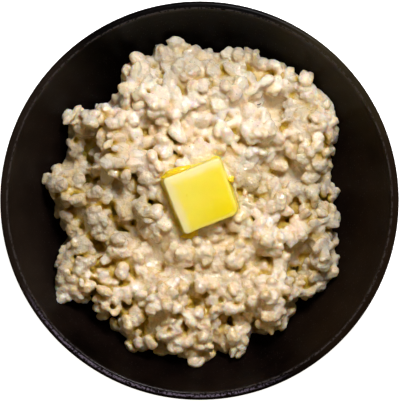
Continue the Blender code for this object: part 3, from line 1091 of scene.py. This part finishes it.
# Husks: a few dark slivers on the porridge.
husk = {
    # place and length in millimetres, and turn
    "slivers": ((13.2, -55.0, 4.0, -28), (-47.0, 40.3, 4.4, 50), (27.0, 44.0, 2.6, 20)),
    "width": 0.5 * mm,
    "height": 0.3 * mm,
    "curl": 0.35 * mm,
    "colour": (0.03, 0.017, 0.008),
    "thin": (0.10, 0.06, 0.03),
    "clouds": 900.0,
    "roughness": (0.3, 0.35),
    "relief": 0.05 * mm,
}


def makeHusks():
    # each sliver lies along the porridge, between the points under its ends
    sphere, faces = roundTemplate(3)
    shapes = []
    for *sizes, turn in husk["slivers"]:
        x, y, length = [size * mm for size in sizes]
        reach = Vector((*heading(turn), 0)) * length / 2
        above = Vector((x, y, 0.1))
        ends = [around.ray_cast(above + side * reach, Vector((0, 0, -1))) for side in (-1, 1)]
        along = (ends[1][0] - ends[0][0]).normalized()
        up = (ends[0][1] + ends[1][1]).normalized()
        across = up.cross(along).normalized()
        up = along.cross(across)
        shaped = sphere * (length / 2, husk["width"] / 2, husk["height"] / 2)
        shaped[:, 1] += husk["curl"] * (sphere[:, 0] ** 2 - 0.5)
        middle = (ends[0][0] + ends[1][0]) / 2 + up * husk["height"]
        shapes.append(shaped @ np.array((along, across, up)) + np.array(middle))
    return meshPiece("barley_husks", *joined(shapes, faces)[:2])


dress(makeHusks(), cloudMaterial("barley husk", husk)[0], "porridge")
print("husks laid on")


def butterShades(points):
    # red: painted sheen, pale at the upper left and deeper yellow towards the lower right; green:
    # painted highlight along the upper cut edges
    x, y, z = points.T
    half = pat["length"] / 2
    awayFromSheen = ease(-0.6, 0.75, x / pat["length"] - 0.7 * y / pat["length"])
    fromSide = np.minimum(x + half, half - y)
    fromEdge = np.minimum(fromSide, np.minimum(half - x, y + half))
    wobble = 0.8 * mm * softNoise(points, 4 * mm, 94)
    wide = 1 - ease(1.6 * mm, 4.8 * mm, fromSide + wobble)
    thin = 1 - ease(0.7 * mm, 2.0 * mm, fromEdge + 0.3 * wobble)
    upper = ease(0.35, 0.85, z / pat["thickness"])
    edge = np.maximum(0.9 * wide, 0.3 * thin) * upper
    return np.stack((awayFromSheen, edge, 0 * x, 0 * x + 1), 1)


def makeButter():
    thickness, edge = pat["thickness"], pat["edge"]
    foot = ((-0.12, 1.15), (0.0, 1.0), (0.1, 0.62), (0.22, 0.36), (0.36, 0.14), (0.5, 0.0), (0.68, 0.0))
    rings = [patRing(-pat["footSpread"] * spread, thickness * share) for share, spread in foot]
    for angle in np.radians(np.linspace(0, 90, 7)):
        rings.append(patRing(edge * (1 - math.cos(angle)), thickness - edge * (1 - math.sin(angle))))
    flat = rings[-1]
    middle = flat.mean(axis=0)
    for share in np.linspace(0.9, 0.1, 9):
        ring = middle + (flat - middle) * share
        ring[:, 2] += pat["crown"] * (1 - share ** 4)
        rings.append(ring)
    count = len(flat)
    points = np.concatenate(rings + [middle[None] + (0, 0, pat["crown"])])
    wobble = 0.22 * mm * softNoise(points, 6 * mm, 91) + 0.08 * mm * softNoise(points, 2 * mm, 92)
    outwards = points * (1, 1, 0)
    outwards /= lengths(outwards)[:, None] + 1e-9
    points = points + outwards * wobble[:, None]
    points[:, 2] += 0.10 * mm * softNoise(points, 5 * mm, 93)
    shades = butterShades(points)
    points = posed(points, butterPose) + pat["slid"]
    faces = ringFaces(len(rings), count)
    last = (len(rings) - 1) * count
    for i in range(count):
        faces.append((last + i, last + (i + 1) % count, len(points) - 1))
    faces.append(tuple(range(count))[::-1])
    piece = meshPiece("butter", points, faces)
    storeShades(piece.data, shades)
    return piece


def butterMaterial():
    material, shader, where = newMaterial("butter")
    awayFromSheen, edge, _, _ = shadesIn(shader.id_data)
    uneven = spanned(mottle(where, 110.0, 1.6), 0.24, -0.12)
    # painted sheen and painted highlight across the top, from the shades stored on the pat
    colour = mixColour(maths("ADD", awayFromSheen, uneven), pat["sheenSideYellow"], pat["deep"])
    setInputs(shader, {
        "Base Color": mixColour(spanned(uneven, edge, edge), colour, pat["pale"]),
        "Roughness": spanned(noiseIn(where, 160.0), 0.2, 0.22),
    })
    letLightIn(shader, *pat["glow"])
    bumpInto(shader, noiseIn(where, 500.0, 3.0, 0.55), pat["relief"])
    return material


dress(makeButter(), butterMaterial(), "butter", "butter_pat")
print("butter laid on")

# Melted butter: thin pools at the pat's foot.
melt = {
    # place from the pat's middle and half the size, in millimetres along the pat's sides
    "pools": (
        ((-7.2, 13.9, 4.6), (7.0, 1.6, 2.6)),
        ((15.2, 1.2, 1.2), (1.4, 1.6, 1.2)),
        ((16.0, -11.7, -2.6), (3.0, 4.0, 1.8)),
        ((-11.5, -15.8, 0.4), (4.6, 2.4, 2.0)),
    ),
    "uneven": 0.3,
    "colour": (0.96, 0.66, 0.004),
    "thin": (0.86, 0.66, 0.05),
    "clouds": 260.0,
    "roughness": (0.1, 0.08),
    "relief": 0.1 * mm,
    "glow": (0.6, (1.0, 0.75, 0.1), 2.0 * mm, 1.46),
}


def makeMelt():
    sphere, faces = roundTemplate(4)
    shapes = []
    for number, pool in enumerate(melt["pools"]):
        place, half = np.array(pool) * mm
        shaped = sphere * half * (1 + melt["uneven"] * softNoise(sphere, 0.7, number + 30))[:, None]
        shapes.append(posed(shaped + place, butterPose))
    return meshPiece("melted_butter", *joined(shapes, faces)[:2])


meltMaterial, meltShader = cloudMaterial("melted butter", melt)
letLightIn(meltShader, *melt["glow"])
dress(makeMelt(), meltMaterial, "butter")
print("butter melted at its foot")


# Floor, lights and camera.
studio = {
    "frameHeight": 180.8 * mm,
    "cameraDistance": 1.5,
    "aim": (0.225 * mm, 0.05 * mm),
    "floor": (0.93, 0.93, 0.93, 1),
    "lights": {  # turn, rise, distance, size, power and colour
        "key": (70.0, 53.0, 0.6, 0.2, 4.0, (0.98, 0.985, 1.05)),
        "fillLeft": (168.0, 40.0, 1.2, 0.9, 0.6, (1.0, 0.75, 0.34)),
        "fillRight": (355.0, 40.0, 1.2, 0.9, 0.95, (1.0, 0.75, 0.34)),
        "fillNear": (222.0, 40.0, 1.2, 0.9, 1.0, (1.0, 0.75, 0.34)),
    },
    "roomLight": 0.15,
    "roomColour": (1.0, 0.68, 0.24),
}


def areaLight(name, turn, rise, distance, size, power, colour):
    data = bpy.data.lights.new(name, "AREA")
    data.energy = power
    data.size = size
    data.color = colour
    lamp = bpy.data.objects.new(name, data)
    (x, y), (flat, height) = heading(turn), heading(rise)
    away = Vector((x * flat, y * flat, height))
    lamp.location = away * distance + Vector((0, 0, rimTop))
    lamp.rotation_euler = away.to_track_quat("Z", "Y").to_euler()
    bpy.context.scene.collection.objects.link(lamp)


def roomWorld():
    # a dim warm room, darker overhead; plain and pale where it is seen directly
    world = bpy.data.worlds.new("studio")
    world.use_nodes = True
    tree = world.node_tree
    way = addNode(tree, "ShaderNodeTexCoord").outputs["Generated"]
    height = addNode(tree, "ShaderNodeSeparateXYZ", {0: way}).outputs["Z"]
    sides = inverted(ramp(height, 0.5, 0.95))
    strength = spanned(sides, studio["roomLight"] * 0.9, studio["roomLight"] * 0.1)
    seen = addNode(tree, "ShaderNodeLightPath").outputs["Is Camera Ray"]
    setInputs(tree.nodes["Background"], {
        "Color": mixColour(seen, studio["roomColour"], (1.0, 1.0, 1.0)),
        "Strength": maths("MAXIMUM", strength, seen),
    })
    return world


def setStudio():
    bpy.ops.mesh.primitive_plane_add(size=6)
    floor = bpy.context.object
    floor.name = "floor"
    material, shader, _ = newMaterial("pale floor")
    seen = addNode(shader.id_data, "ShaderNodeLightPath").outputs["Is Camera Ray"]
    setInputs(shader, {
        "Base Color": studio["floor"],
        "Roughness": 0.7,
        "Emission Color": (1, 1, 1, 1),
        "Emission Strength": seen,
    })
    floor.data.materials.append(material)
    for name, setting in studio["lights"].items():
        areaLight(name, *setting)
    scene = bpy.context.scene
    scene.world = roomWorld()
    scene.view_settings.view_transform = "Standard"
    data = bpy.data.cameras.new("above")
    data.sensor_fit = "VERTICAL"
    data.sensor_height = 36
    data.lens = data.sensor_height * studio["cameraDistance"] / studio["frameHeight"]
    data.clip_end = 20
    camera = bpy.data.objects.new("above", data)
    camera.location = (*studio["aim"], rimTop + studio["cameraDistance"])
    scene.collection.objects.link(camera)
    scene.camera = camera


setStudio()
print("studio set")
